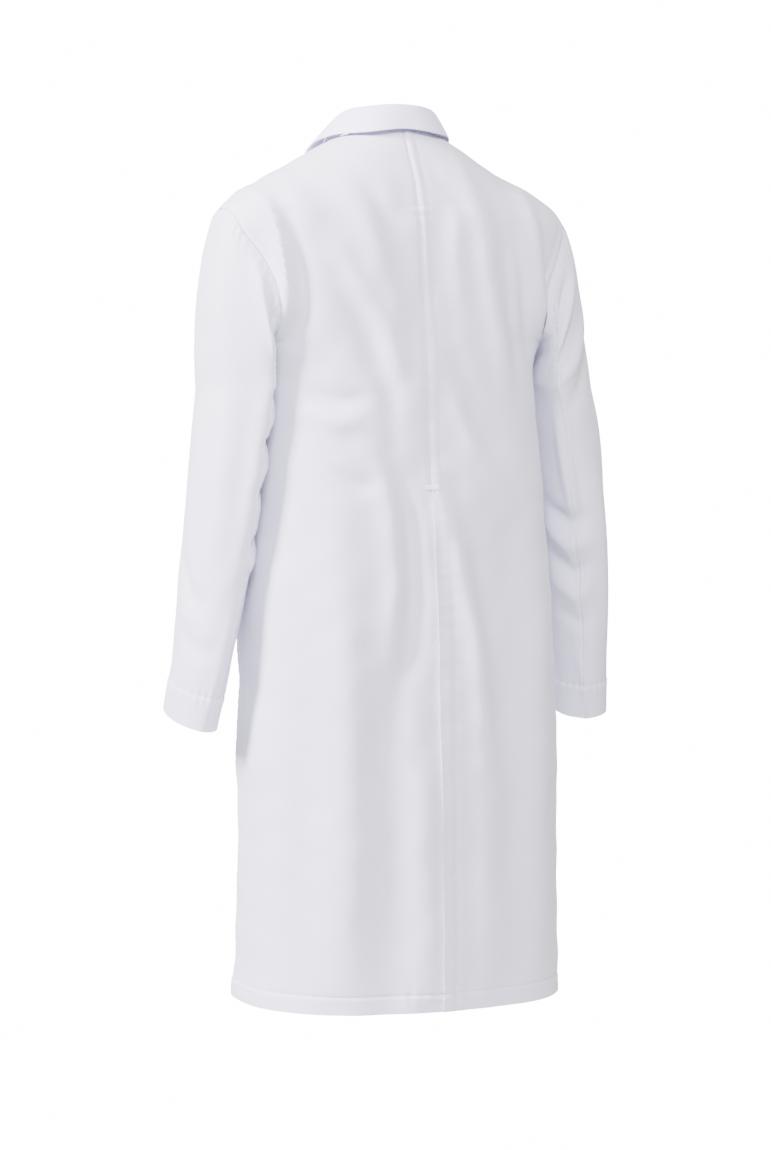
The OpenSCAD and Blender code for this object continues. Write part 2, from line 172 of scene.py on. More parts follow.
def add_floor():
    bpy.ops.mesh.primitive_circle_add(vertices=96, radius=0.6, fill_type="NGON", location=(0, 0, -1.35))
    floor = bpy.context.object
    floor.name = "floor"
    material = bpy.data.materials.new("floor_white")
    material.use_nodes = True
    shader = material.node_tree.nodes["Principled BSDF"]
    shader.inputs["Base Color"].default_value = (0.85, 0.85, 0.85, 1)
    shader.inputs["Roughness"].default_value = 1.0
    shader.inputs["Specular IOR Level"].default_value = 0.0
    floor.data.materials.append(material)


WORLD_NEAR = 0.85
WORLD_FAR = 16.0
COOL = (0.94, 0.935, 1.0)
add_camera()
add_world()
add_floor()
area_light("key", -2.9, 1.8, 1.4, 1.0, 640, COOL)
area_light("front_fill", 0.2, 2.0, 3.3, 1.4, 300, COOL)


# ---- curves -----------------------------------------------------------------------------------

def smooth(t):
    t = np.clip(t, 0.0, 1.0)
    return t * t * (3 - 2 * t)


def hermite(p0, m0, p1, m1, t):
    return ((2 * t**3 - 3 * t**2 + 1) * p0 + (t**3 - 2 * t**2 + t) * m0
            + (3 * t**2 - 2 * t**3) * p1 + (t**3 - t**2) * m1)


def from_table(table, x, column):
    """Column's value at x, on a smooth curve through the table's rows."""
    xs, ys = table[:, 0], table[:, column]
    n = len(xs)
    before = np.maximum(np.arange(n) - 1, 0)
    after = np.minimum(np.arange(n) + 1, n - 1)
    slope = (ys[after] - ys[before]) / (xs[after] - xs[before])
    i = np.clip(np.searchsorted(xs, x, side="right") - 1, 0, n - 2)
    step = xs[i + 1] - xs[i]
    return hermite(ys[i], slope[i] * step, ys[i + 1], slope[i + 1] * step, (x - xs[i]) / step)


def spline(points, t):
    p = np.asarray(points, float)
    n = len(p) - 1
    t = np.asarray(t, float)
    i = np.clip(np.floor(t * n).astype(int), 0, n - 1)
    u = (t * n - i)[..., None]
    m0 = (p[i + 1] - p[np.maximum(i - 1, 0)]) / np.where(i > 0, 2, 1)[..., None]
    m1 = (p[np.minimum(i + 2, n)] - p[i]) / np.where(i < n - 1, 2, 1)[..., None]
    return hermite(p[i], m0, p[i + 1], m1, u)


def signed_power(x, e):
    return np.sign(x) * np.abs(x) ** e


def unit(v):
    return v / np.maximum(np.linalg.norm(v, axis=-1, keepdims=True), 1e-9)


# ---- body and sleeve surfaces -----------------------------------------------------------------

def body_form(q, drop):
    """q runs round the body: 0 centre back, 90 the wearer's left side, 180 centre front."""
    a = np.radians(q)
    e = 2 / from_table(SECTIONS, drop, 4)
    depth = np.where(np.cos(a) > 0, from_table(SECTIONS, drop, 2), from_table(SECTIONS, drop, 3))
    x = from_table(SECTIONS, drop, 1) * signed_power(np.sin(a), e)
    return np.stack([x, depth * signed_power(np.cos(a), e), -drop + 0 * q], -1)


def body_normal(q, drop):
    around = body_form(q + 1.5, drop) - body_form(q - 1.5, drop)
    down = body_form(q, drop + 2) - body_form(q, drop - 2)
    return unit(np.cross(around, down))


def q_at(x, drop):
    width = from_table(SECTIONS, drop, 1)
    share = np.clip(np.abs(x) / width, 0, 1)
    return np.sign(x) * np.degrees(np.arcsin(share ** (from_table(SECTIONS, drop, 4) / 2)))


def q_armhole(table, drop):
    inside = (drop > TIP_DROP) & (drop < UNDERARM)
    return np.where(inside, q_at(from_table(table, np.clip(drop, TIP_DROP, UNDERARM), 1), drop), 90.0)


def armhole(phi):
    c, s = np.cos(np.radians(phi)), np.sin(np.radians(phi))
    drop = TIP_DROP + (UNDERARM - TIP_DROP) * (1 - c) / 2
    x = np.where(s >= 0, from_table(ARMHOLE_BACK, drop, 1), from_table(ARMHOLE_FRONT, drop, 1))
    q = np.minimum(q_at(x, drop), 90)
    return np.where(s >= 0, q, 180 - q), drop


def sleeve_ring(phi, drop):
    c, s = np.cos(np.radians(phi)), np.sin(np.radians(phi))
    cx, cy, outer, inner, deep = (from_table(SLEEVE, drop, k) for k in range(1, 6))
    low = (drop - SLEEVE[0, 0]) / (CUFF_DROP - SLEEVE[0, 0])
    dx = np.where(c > 0, outer, inner) * c
    dy = deep * s
    tuck = 0.20 * (1 - low) * np.maximum(dy, 0) ** 2 / deep
    return np.stack([cx + dx - tuck, cy + dy, -drop + dx * (0.10 + 0.03 * low) - dy * 0.2 * low], -1)


def sleeve_form(phi, t):
    """t runs from 0 at the armhole, over 1 at the first sleeve section, to 2 at the cuff."""
    phi, t = np.broadcast_arrays(np.asarray(phi, float), np.asarray(t, float))
    c, s = np.cos(np.radians(phi)), np.sin(np.radians(phi))
    high = ((1 + c) / 2)[..., None]
    q, drop = armhole(phi)
    start = body(q, drop)
    m0 = np.concatenate([40 + 18 * high, 24 * s[..., None], -(6 + 58 * high)], -1)
    m1 = np.concatenate([2 - 17 * high, 0 * high, -(60 + 140 * high)], -1)
    u = np.clip(t, -0.05, 1)[..., None]
    cap = hermite(start, m0, sleeve_ring(phi, SLEEVE[0, 0] + 0 * t), m1, u)
    tube = sleeve_ring(phi, SLEEVE[0, 0] + (CUFF_DROP - SLEEVE[0, 0]) * np.clip(t - 1, 0, 1))
    return np.where((t <= 1)[..., None], cap, tube)


def lap_shift(q, over):
    """Keeps the right front outside the left one where they lap."""
    return smooth((q - 146) / 26) * (1.3 if over else -1.3)


def roll_x(drop):
    share = np.clip((UNDERARM - drop) / (UNDERARM - NECK_SIDE_DROP), 0, 1)
    return LAP + (NECK_SIDE_X - LAP) * share ** 1.15


def front_edge_q(drop):
    high = 180 - q_at(roll_x(drop), drop)
    low = 180 + q_at(LAP + 0 * drop, drop)
    return np.where(drop < UNDERARM, high, low)


def body(q, drop, off=0.0):
    q, drop, off = np.broadcast_arrays(*(np.asarray(v, float) for v in (q, drop, off)))
    return body_form(q, drop) + (off + body_relief(q, drop))[..., None] * body_normal(q, np.maximum(drop, 3))


def sleeve(phi, t, off=0.0, left=True):
    phi, t, off = np.broadcast_arrays(*(np.asarray(v, float) for v in (phi, t, off)))
    p = sleeve_form(phi, t)
    around = sleeve_form(phi + 1.5, t) - sleeve_form(phi - 1.5, t)
    down = sleeve_form(phi, np.minimum(t + 0.01, 2)) - sleeve_form(phi, np.maximum(t - 0.01, -0.05))
    n = unit(np.cross(down, around))
    p = p + (off + sleeve_relief(phi, t, left))[..., None] * n
    if left:
        return p
    # the right sleeve hangs fuller and further out, most of all at the elbow
    fuller = smooth((t - 0.5) / 0.7) * (8 + 4 * np.cos(np.radians(phi))) + 5 * gauss(t - 1.35, 0.35)
    return (p + np.stack([fuller, 0 * fuller, 0 * fuller], -1)) * np.array([-1, 1, 1])


def gauss(x, width):
    return np.exp(-((x / width) ** 2))


def folds(x, y, table):
    """Height of soft folds at (x, y). Each fold is a height, a half width and its path."""
    total = np.zeros(np.broadcast(x, y).shape)
    for height, width, path in table:
        p = np.asarray(path, float)
        best = np.full(total.shape, 1e9)
        along = np.zeros(total.shape)
        lengths = np.linalg.norm(np.diff(p, axis=0), axis=1)
        whole = lengths.sum()
        done = 0.0
        for a, b, length in zip(p[:-1], p[1:], lengths):
            d = b - a
            s = np.clip(((x - a[0]) * d[0] + (y - a[1]) * d[1]) / length**2, 0, 1)
            dist = np.hypot(x - a[0] - s * d[0], y - a[1] - s * d[1])
            near = dist < best
            best = np.where(near, dist, best)
            along = np.where(near, (done + s * length) / whole, along)
            done += length
        total += height * gauss(best, width) * np.sin(np.pi * np.clip(along, 0.02, 0.98)) ** 0.7
    return total


# Folds of the body: height, half width and the path from end to end, as distance round the body
# from the centre back (positive on the wearer's left) and drop.
BODY_FOLDS = [
    (5.5, 8, [(182, 66), (168, 112), (160, 160), (156, 205), (163, 262)]),
    (-4.0, 10, [(158, 90), (146, 150), (141, 205), (146, 270)]),
    (4.0, 17, [(150, 62), (122, 120), (88, 180), (52, 232), (30, 300)]),
    (-4.0, 15, [(128, 92), (102, 170), (70, 235), (48, 310), (40, 380)]),
    (2.6, 18, [(92, 50), (62, 120), (38, 190), (24, 240)]),
    (-2.2, 14, [(60, 60), (40, 130), (20, 200)]),
    (-3.0, 9, [(140, 300), (104, 316), (70, 308)]),
    (2.4, 10, [(146, 322), (108, 340), (76, 334)]),
    (-2.4, 9, [(120, 388), (84, 412), (60, 402)]),
    (3.2, 13, [(76, 352), (52, 430), (46, 520), (60, 600)]),
    (-4.0, 15, [(52, 380), (26, 440), (24, 520), (36, 610), (62, 690)]),
    (3.0, 11, [(24, 396), (12, 450), (8, 520), (10, 600)]),
    (4.2, 14, [(-6, 404), (-26, 480), (-44, 580), (-58, 720)]),
    (-2.8, 16, [(-14, 380), (-52, 470), (-74, 600), (-84, 760)]),
    (5.0, 26, [(118, 400), (112, 520), (106, 640), (104, 760), (110, 1010)]),
    (-4.5, 24, [(70, 560), (66, 680), (62, 800), (60, 1010)]),
    (3.0, 20, [(24, 640), (20, 800), (18, 1010)]),
    (-2.5, 18, [(152, 640), (150, 800), (154, 1010)]),
    (3.6, 13, [(-60, 40), (-76, 110), (-80, 180), (-96, 260), (-104, 330)]),
    (-2.6, 13, [(-94, 60), (-112, 130), (-112, 210), (-124, 300)]),
    (3.4, 9, [(-136, 58), (-148, 110), (-153, 170), (-158, 232), (-164, 268)]),
    (-3.2, 9, [(-124, 100), (-133, 160), (-138, 230), (-146, 290)]),
    (2.2, 14, [(-44, 90), (-40, 160), (-50, 230)]),
    (-2.0, 12, [(-30, 250), (-62, 330), (-110, 400)]),
    (2.0, 12, [(-24, 300), (-56, 372), (-100, 430)]),
    (-3.0, 20, [(-96, 430), (-100, 600), (-96, 800), (-98, 1010)]),
    (4.0, 22, [(-136, 420), (-134, 600), (-130, 800), (-134, 1010)]),
    (2.4, 18, [(-58, 700), (-56, 850), (-60, 1010)]),
    (3.0, 12, [(245, 250), (262, 330), (270, 420)]),
    (-3.0, 12, [(222, 262), (230, 340), (240, 440)]),
    (3.0, 12, [(-245, 250), (-262, 330), (-270, 420)]),
    (-3.0, 12, [(-222, 262), (-230, 340), (-240, 440)]),
    (4.0, 22, [(250, 560), (246, 780), (248, 1010)]),
    (-3.5, 20, [(212, 520), (206, 760), (206, 1010)]),
    (4.0, 22, [(-256, 600), (-250, 800), (-250, 1010)]),
    (-3.5, 20, [(-210, 520), (-208, 760), (-206, 1010)]),
]

# Folds of each sleeve: height, half width and path, as distance round the sleeve from its outer
# line towards the back, and distance down from the armhole.
LEFT_SLEEVE_FOLDS = [
    (4.0, 11, [(70, 20), (82, 80), (100, 150)]),
    (-3.0, 9, [(96, 30), (104, 90), (116, 150)]),
    (-3.2, 7, [(150, 176), (118, 206), (92, 214)]),
    (2.6, 8, [(154, 196), (124, 232), (96, 248)]),
    (-3.0, 7, [(152, 236), (118, 262), (90, 268)]),
    (2.4, 8, [(150, 258), (122, 288), (92, 300)]),
    (-2.6, 7, [(150, 292), (120, 318), (88, 322)]),
    (-2.4, 7, [(148, 352), (122, 372), (96, 376)]),
    (2.2, 8, [(150, 372), (120, 396), (90, 398)]),
    (3.0, 16, [(24, 40), (34, 160), (40, 300), (44, 420)]),
    (-2.0, 16, [(60, 160), (66, 300), (70, 420)]),
    (2.0, 14, [(96, 420), (92, 500), (84, 580)]),
    (-2.6, 12, [(-12, 400), (14, 440), (50, 452)]),
    (-2.0, 10, [(0, 480), (40, 500), (80, 496)]),
]
RIGHT_SLEEVE_FOLDS = [
    (4.0, 9, [(52, 60), (84, 112), (120, 158)]),
    (-4.0, 8, [(66, 50), (100, 104), (134, 150)]),
    (3.0, 9, [(30, 110), (70, 170), (120, 214)]),
    (-2.4, 9, [(30, 150), (64, 206), (104, 240)]),
    (3.0, 10, [(120, 230), (112, 300), (104, 360)]),
    (-2.4, 9, [(96, 240), (88, 310), (86, 380)]),
    (-3.6, 8, [(160, 330), (120, 352), (70, 350)]),
    (3.4, 9, [(160, 356), (118, 382), (72, 376)]),
    (-3.4, 8, [(158, 388), (116, 412), (76, 404)]),
    (3.0, 9, [(156, 420), (112, 440), (80, 430)]),
    (-2.4, 8, [(150, 456), (112, 470), (80, 462)]),
    (2.6, 14, [(60, 280), (56, 400), (52, 520)]),
    (-2.0, 12, [(30, 300), (26, 420), (30, 520)]),
    (2.0, 9, [(120, 500), (104, 540), (100, 590)]),
]


def around(q, drop):
    """Distance round the body from the centre back, positive on the wearer's left."""
    width = from_table(SECTIONS, drop, 1)
    x = np.abs(body_form(q, drop)[..., 0])
    return np.sign(q) * np.where(np.abs(q) <= 90, x, 2 * width - x)


def waves(x, y, seed, height, length):
    """A slow uneven swell: a few crossing waves of about one length."""
    generator = np.random.default_rng(seed)
    total = 0
    for k in range(7):
        turn = generator.uniform(0, math.pi)
        stretch = generator.uniform(0.7, 1.5)
        phase = generator.uniform(0, 2 * math.pi)
        across = x * math.cos(turn) + y * 0.6 * math.sin(turn)
        total = total + np.sin(across * 2 * math.pi / (length * stretch) + phase)
    return total * height / 2.6


def body_relief(q, drop):
    """Folds, seams and stitch grooves of the body, as a height along its normal."""
    q, drop = np.broadcast_arrays((np.asarray(q, float) + 180) % 360 - 180, np.asarray(drop, float))
    u = around(q, drop)
    size = np.abs(u)
    back = np.abs(q) <= 90
    calm = smooth((drop - 6) / 40)
    total = 2.1 * folds(u, drop, BODY_FOLDS) * calm
    total += (waves(u, drop, 3, 1.4, 120) + waves(u, drop, 5, 0.55, 42) + waves(u, drop, 7, 0.16, 19)) * calm
    # centre back: the seam pulls in, its allowances lie towards the wearer's right
    seam = np.where(back, 1.0, 0.0)
    total -= seam * 2.4 * gauss(u, 26) * gauss(drop - 400, 120)
    total -= seam * 1.7 * gauss(u, 1.5) * (drop < VENT_DROP)
    band = smooth((10.5 + u) / 1.5) * (u < 0) * (drop < VENT_DROP + 4)
    total += seam * (1.2 * band - 1.0 * gauss(u + 9.5, 1.7) * (drop < VENT_DROP))
    pucker = np.sin(drop * 2 * math.pi / 10.5 + 1.2 * np.sin(drop / 23))
    total += seam * 0.75 * pucker * gauss(size, 11) * calm
    # vent: a line of stitching along the fold
    low = smooth((drop - VENT_DROP) / 12)
    total += seam * low * (u <= 0) * (1.2 * smooth((17 - size) / 1.5) - 1.2 * gauss(size - 16.5, 1.8))
    pucker = np.sin(drop * 2 * math.pi / 17 + 2 * np.sin(drop / 37))
    total += seam * low * (u <= 0) * 0.8 * pucker * gauss(size - 14, 9)
    # hem: doubled cloth below its stitching
    hem_line = LENGTH - HEM
    total += 0.9 * smooth((drop - hem_line) / 1.5) - 1.1 * gauss(drop - hem_line, 1.9)
    total += 0.45 * np.sin(u * 2 * math.pi / 15 + 1.5 * np.sin(u / 31)) * gauss(drop - hem_line, 9)
    # armhole: the allowances lie under the body and are stitched down
    hole = np.where(back, from_table(ARMHOLE_BACK, np.clip(drop, TIP_DROP, UNDERARM), 1),
                    from_table(ARMHOLE_FRONT, np.clip(drop, TIP_DROP, UNDERARM), 1))
    inset = hole - np.abs(body_form(q, drop)[..., 0])
    beside = smooth((drop - TIP_DROP) / 14) * (drop < UNDERARM)
    total += beside * (1.1 * smooth((9 - inset) / 1.6) - 1.2 * gauss(inset - 9.2, 1.8))
    total += beside * 0.5 * np.sin(drop * 2 * math.pi / 13) * gauss(inset - 8, 8)
    # side seams
    seam_x = from_table(SECTIONS, drop, 1)
    total -= 0.6 * gauss(size - seam_x, 1.6) * (drop > UNDERARM)
    total += 0.3 * np.sin(drop * 2 * math.pi / 12) * gauss(size - seam_x, 9) * (drop > UNDERARM)
    return total


def sleeve_relief(phi, t, left):
    phi, t = np.broadcast_arrays(np.asarray(phi, float), np.asarray(t, float))
    turned = (phi + 120) % 360 - 120
    w = turned * 0.95
    length = np.where(t < 1, t * 205, 205 + (t - 1) * 380)
    easing = smooth(t / 0.12)
    table = LEFT_SLEEVE_FOLDS if left else RIGHT_SLEEVE_FOLDS
    total = 1.8 * folds(w, length, table) * easing
    slow = waves(w, length, 11 if left else 17, 0.8, 90)
    fine = waves(w, length, 23 if left else 29, 0.25, 36)
    total += (slow + fine) * easing
    # felled seams: raised band and pucker on the upper sleeve's side
    for seam_phi, way in ((BACK_SEAM_PHI, -1), (FRONT_SEAM_PHI - 360, 1), (FRONT_SEAM_PHI, 1)):
        d = (phi - seam_phi) * 0.95
        total -= 1.3 * gauss(d, 1.5) * easing
        band = 0.8 * smooth((8.5 - d * way) / 1.5) * (d * way > 0)
        total += (band - 0.9 * gauss(d * way - 9.5, 1.7)) * easing
        total += 0.7 * np.sin(length * 2 * math.pi / 11 + np.sin(length / 17)) * gauss(d, 8) * easing
    # cap: gathers where the sleeve is eased into the armhole
    high = (1 + np.cos(np.radians(phi))) / 2
    total += 0.8 * np.sin(phi * 2 * math.pi / 9) * gauss(t - 0.1, 0.08) * (0.3 + 0.7 * high)
    total -= 1.2 * gauss(np.maximum(t, 0) * 205, 2.5)
    cuff = 585 - CUFF_HEM
    total += 0.8 * smooth((length - cuff) / 1.5) - 0.7 * gauss(length - cuff, 1.8)
    total += 0.6 * np.sin(w * 2 * math.pi / 13) * gauss(length - cuff, 8)
    return total


# ---- materials --------------------------------------------------------------------------------

def new_material(name):
    material = bpy.data.materials.new(name)
    material.use_nodes = True
    tree = material.node_tree
    return material, tree.nodes, tree.links, tree.nodes["Principled BSDF"]


def cloth_material(name, colour, shade, roughness=0.86, weave=0.35):
    """Fine twill: diagonal ribs in bump, broken by yarn noise, and a slow change of tone."""
    material, nodes, links, shader = new_material(name)
    shader.inputs["Roughness"].default_value = roughness
    shader.inputs["Sheen Weight"].default_value = 0.25
    shader.inputs["Sheen Roughness"].default_value = 0.5
    shader.inputs["Specular IOR Level"].default_value = 0.25
    uv = nodes.new("ShaderNodeUVMap")
    uv.uv_map = "cloth"
    ribs = nodes.new("ShaderNodeTexWave")
    ribs.wave_type = "BANDS"
    ribs.bands_direction = "DIAGONAL"
    ribs.inputs["Scale"].default_value = 520.0
    ribs.inputs["Distortion"].default_value = 1.5
    ribs.inputs["Detail"].default_value = 1.0
    yarn = nodes.new("ShaderNodeTexNoise")
    yarn.inputs["Scale"].default_value = 1400.0
    yarn.inputs["Detail"].default_value = 2.0
    tone = nodes.new("ShaderNodeTexNoise")
    tone.inputs["Scale"].default_value = 9.0
    tone.inputs["Detail"].default_value = 3.0
    for texture in (ribs, yarn, tone):
        links.new(uv.outputs["UV"], texture.inputs["Vector"])
    add = nodes.new("ShaderNodeMath")
    add.operation = "ADD"
    links.new(ribs.outputs["Fac"], add.inputs[0])
    links.new(yarn.outputs["Fac"], add.inputs[1])
    bump = nodes.new("ShaderNodeBump")
    bump.inputs["Strength"].default_value = weave
    bump.inputs["Distance"].default_value = 0.00012
    links.new(add.outputs["Value"], bump.inputs["Height"])
    links.new(bump.outputs["Normal"], shader.inputs["Normal"])
    ramp = nodes.new("ShaderNodeValToRGB")
    ramp.color_ramp.elements[0].position = 0.3
    ramp.color_ramp.elements[0].color = (*shade, 1)
    ramp.color_ramp.elements[1].position = 0.7
    ramp.color_ramp.elements[1].color = (*colour, 1)
    links.new(tone.outputs["Fac"], ramp.inputs["Fac"])
    links.new(ramp.outputs["Color"], shader.inputs["Base Color"])
    return material


def plain_material(name, colour, roughness, specular=0.5):
    """Smooth moulded or spun finish with a faint mottling and grain."""
    material, nodes, links, shader = new_material(name)
    shader.inputs["Roughness"].default_value = roughness
    shader.inputs["Specular IOR Level"].default_value = specular
    place = nodes.new("ShaderNodeTexCoord")
    grain = nodes.new("ShaderNodeTexNoise")
    grain.inputs["Scale"].default_value = 900.0
    grain.inputs["Detail"].default_value = 2.0
    links.new(place.outputs["Object"], grain.inputs["Vector"])
    ramp = nodes.new("ShaderNodeValToRGB")
    ramp.color_ramp.elements[0].color = (*[c * 0.95 for c in colour], 1)
    ramp.color_ramp.elements[1].color = (*colour, 1)
    links.new(grain.outputs["Fac"], ramp.inputs["Fac"])
    links.new(ramp.outputs["Color"], shader.inputs["Base Color"])
    bump = nodes.new("ShaderNodeBump")
    bump.inputs["Strength"].default_value = 0.15
    bump.inputs["Distance"].default_value = 0.00005
    links.new(grain.outputs["Fac"], bump.inputs["Height"])
    links.new(bump.outputs["Normal"], shader.inputs["Normal"])
    return material


OUTER = cloth_material("coat_cloth", (0.785, 0.77, 0.94), (0.745, 0.73, 0.905))
# The inside cloth is a darker, greyer copy of the coat cloth: painted shade on the inside faces, facings, turnings
# and the collar stand.
SHADED_INNER = cloth_material("inner_cloth", (0.74, 0.725, 0.85), (0.71, 0.695, 0.82), 0.9)
THREAD = plain_material("thread", (0.86, 0.85, 0.95), 0.5)
SNAP = plain_material("snap", (0.86, 0.86, 0.89), 0.28)
TAPE = cloth_material("tape", (0.84, 0.84, 0.89), (0.80, 0.80, 0.86), 0.8, 0.8)
LABEL = cloth_material("label", (0.88, 0.88, 0.9), (0.86, 0.86, 0.88), 0.45, 0.3)


# ---- mesh building ----------------------------------------------------------------------------

def leaned(points):
    """The coat hangs a little askew: its shoulders sit towards the wearer's left and its hem to the right."""
    points = np.array(points, float)
    high = smooth((330 + points[:, 2]) / 300)
    points[:, 0] *= 1 - np.where(points[:, 0] > 0, 0.026, 0.012) * smooth((620 + points[:, 2]) / 350)
    points[:, 0] += 7.0 * high - 4.0 * smooth((-points[:, 2] - 300) / 400)
    return points


def mesh_object(name, verts, faces, material, uv=None, sharp=50.0):
    mesh = bpy.data.meshes.new(name)
    verts = leaned(verts) * MM
    faces = np.asarray(faces)
    mesh.vertices.add(len(verts))
    mesh.vertices.foreach_set("co", verts.astype(np.float32).ravel())
    size = faces.shape[1]
    mesh.loops.add(faces.size)
    mesh.loops.foreach_set("vertex_index", faces.astype(np.int32).ravel())
    mesh.polygons.add(len(faces))
    mesh.polygons.foreach_set("loop_start", np.arange(0, faces.size, size, dtype=np.int32))
    mesh.polygons.foreach_set("loop_total", np.full(len(faces), size, dtype=np.int32))
    mesh.update(calc_edges=True)
    mesh.validate()
    layer = mesh.uv_layers.new(name="cloth")
    if uv is not None:
        layer.data.foreach_set("uv", (np.asarray(uv)[faces.ravel()] * MM).astype(np.float32).ravel())
    mesh.polygons.foreach_set("use_smooth", np.ones(len(faces), bool))
    mesh.set_sharp_from_angle(angle=math.radians(sharp))
    mesh.materials.append(material)
    obj = bpy.data.objects.new(name, mesh)
    bpy.context.scene.collection.objects.link(obj)
    return obj


def grid_normals(p):
    du = np.gradient(p, axis=0)
    dv = np.gradient(p, axis=1)
    return unit(np.cross(du, dv))


def cloth(name, p, material, thickness=CLOTH, grain=None, flip=False, lining=None):
    """A thin closed sheet from a grid of points (n, m, 3): skin, back and edges."""
    if flip:
        p = p[::-1]
    n, m = p.shape[:2]
    normal = grid_normals(p)
    outer, inner = p + normal * thickness / 2, p - normal * thickness / 2
    skins = np.concatenate([outer.reshape(-1, 3), inner.reshape(-1, 3)])
    i, j = np.meshgrid(np.arange(n - 1), np.arange(m - 1), indexing="ij")
    a = (i * m + j).ravel()
    quads = np.stack([a, a + m, a + m + 1, a + 1], -1)
    back = quads[:, ::-1] + n * m
    edges = []
    for line in (np.arange(m), (n - 1) * m + np.arange(m)[::-1], np.arange(n)[::-1] * m,
                 np.arange(n) * m + m - 1):
        edges.append(np.stack([line[:-1], line[1:], line[1:] + n * m, line[:-1] + n * m], -1))
    faces = np.concatenate([quads, back, *edges])
    if grain is None:
        du = np.linalg.norm(np.diff(p, axis=0), axis=-1)
        dv = np.linalg.norm(np.diff(p, axis=1), axis=-1)
        u = np.concatenate([np.zeros((1, m)), np.cumsum(du, axis=0)])
        v = np.concatenate([np.zeros((n, 1)), np.cumsum(dv, axis=1)], axis=1)
        u = u - u[n // 2]
        grain = np.stack([u, v], -1)
    flat = grain.reshape(-1, 2)
    obj = mesh_object(name, skins, faces, material, np.concatenate([flat, flat]))
    if lining is not None:
        obj.data.materials.append(lining)
        index = np.zeros(len(faces), np.int32)
        index[len(quads):2 * len(quads)] = 1
        obj.data.polygons.foreach_set("material_index", index)
    return obj


def stitch_rows(name, rows, pitch=2.9, long=2.2, wide=0.55):
    """Sewing stitches: a small rounded bead of thread for each stitch. Each row is (points, normals)."""
    verts, faces = [], []
    count = 0
    for points, normals in rows:
        seg = np.linalg.norm(np.diff(points, axis=0), axis=1)
        s = np.concatenate([[0], np.cumsum(seg)])
        number = max(int(s[-1] // pitch), 1)
        mid = (np.arange(number) + 0.5) * s[-1] / number
        def at(values, where):
            return np.stack([np.interp(where, s, values[:, k]) for k in range(3)], -1)
        centre = at(points, mid)
        ahead = unit(at(points, mid + 0.5) - at(points, mid - 0.5))
        up = unit(at(normals, mid))
        side = unit(np.cross(ahead, up))
        stations = ((-0.5, 0.25), (-0.3, 1.0), (0.3, 1.0), (0.5, 0.25))
        ring = []
        for along, fat in stations:
            for c, z in ((1, 0), (0.5, 0.8), (-0.5, 0.8), (-1, 0)):
                ring.append(centre + ahead * along * long + side * c * wide / 2 * fat + up * z * wide * 0.55 * fat)
        block = np.stack(ring, 1)
        verts.append(block.reshape(-1, 3))
        local = []
        for k in range(3):
            for c in range(4):
                a, b = k * 4 + c, k * 4 + (c + 1) % 4
                local.append([a, b, b + 4, a + 4])
        local.append([3, 2, 1, 0])
        local.append([12, 13, 14, 15])
        local = np.array(local)
        faces.append((local[None] + (np.arange(number) * 16)[:, None, None]).reshape(-1, 4) + count)
        count += number * 16
    return mesh_object(name, np.concatenate(verts), np.concatenate(faces), THREAD, sharp=80)


# ---- panels -----------------------------------------------------------------------------------

def spread(a, b, step, fine=None, fine_width=14.0, fine_step=1.2):
    """Stations from a to b about step apart, closer together near the values in fine."""
    marks = [a, b]
    x = a
    while x < b:
        gap = step
        for f in fine or ():
            near = abs(x - f)
            gap = min(gap, fine_step + max(near - fine_width, 0) * 0.35 + near * 0.08)
        x += gap
        marks.append(x)
    marks = np.unique(np.round(marks, 4))
    return marks[(marks >= a) & (marks <= b)]


ROWS = spread(0.0, LENGTH, 6.0, fine=(TIP_DROP + 1, LENGTH - HEM, LENGTH), fine_width=3.0)
U_BACK = spread(0.0, 1.0, 0.033, fine=(0.0, 0.08, 1.0), fine_width=0.03, fine_step=0.006)


def back_drop(row, q):
    """The top rows follow the neck seam, which dips to the shoulder."""
    return np.maximum(row, NECK_SIDE_DROP * (np.abs(q) / 90) ** 2)


def back_grid(edge, rows=ROWS, shares=U_BACK):
    """Half of the back, from an edge near the centre to the armhole and side seam."""
    row, u = np.meshgrid(rows, shares, indexing="ij")
    side = q_armhole(ARMHOLE_BACK, np.maximum(row, NECK_SIDE_DROP))
    start = edge(row)
    q = start + (side - start) * u
    drop = back_drop(row, q)
    return q, drop


def half_back(name, mirror):
    q, drop = back_grid(lambda row: np.zeros(row.shape))
    sign = -1 if mirror else 1
    lift = 0.7 * smooth((drop - VENT_DROP + 12) / 20) * smooth((40 - q_width(q, drop)) / 20)
    p = body(q * sign, drop, lift * (1 if mirror else -1))
    return cloth(name, p, OUTER, flip=mirror, lining=SHADED_INNER)


def q_width(q, drop):
    return np.abs(body_form(q, drop)[..., 0])


def half_front(name, mirror):
    rows = ROWS[ROWS >= NECK_SIDE_DROP + 1]
    shares = spread(0.0, 1.0, 0.033, fine=(0.0, 1.0), fine_width=0.02, fine_step=0.008)
    row, u = np.meshgrid(rows, shares, indexing="ij")
    side = 180 - q_armhole(ARMHOLE_FRONT, row)
    edge = front_edge_q(row)
    q = side + (edge - side) * u
    high = np.clip((UNDERARM - row) / 60, 0, 1)
    p = body(q * (-1 if mirror else 1), row, lap_shift(q, mirror) * (1 - high))
    return cloth(name, p, OUTER, flip=mirror, lining=SHADED_INNER)


SLEEVE_ROWS = np.concatenate([[-0.035], spread(0.0, 1.0, 0.03, fine=(0.0,), fine_width=0.02, fine_step=0.006),
                              1 + spread(0.0, 1.0, 0.016, fine=(1 - CUFF_HEM / 380, 1.0), fine_width=0.004,
                                         fine_step=0.004)[1:]])


def sleeve_part(name, from_phi, to_phi, mirror):
    columns = int(abs(to_phi - from_phi) / 2.2)
    t, phi = np.meshgrid(SLEEVE_ROWS, np.linspace(from_phi, to_phi, columns), indexing="ij")
    return cloth(name, sleeve(phi, t, left=not mirror), OUTER, flip=not mirror, lining=SHADED_INNER)


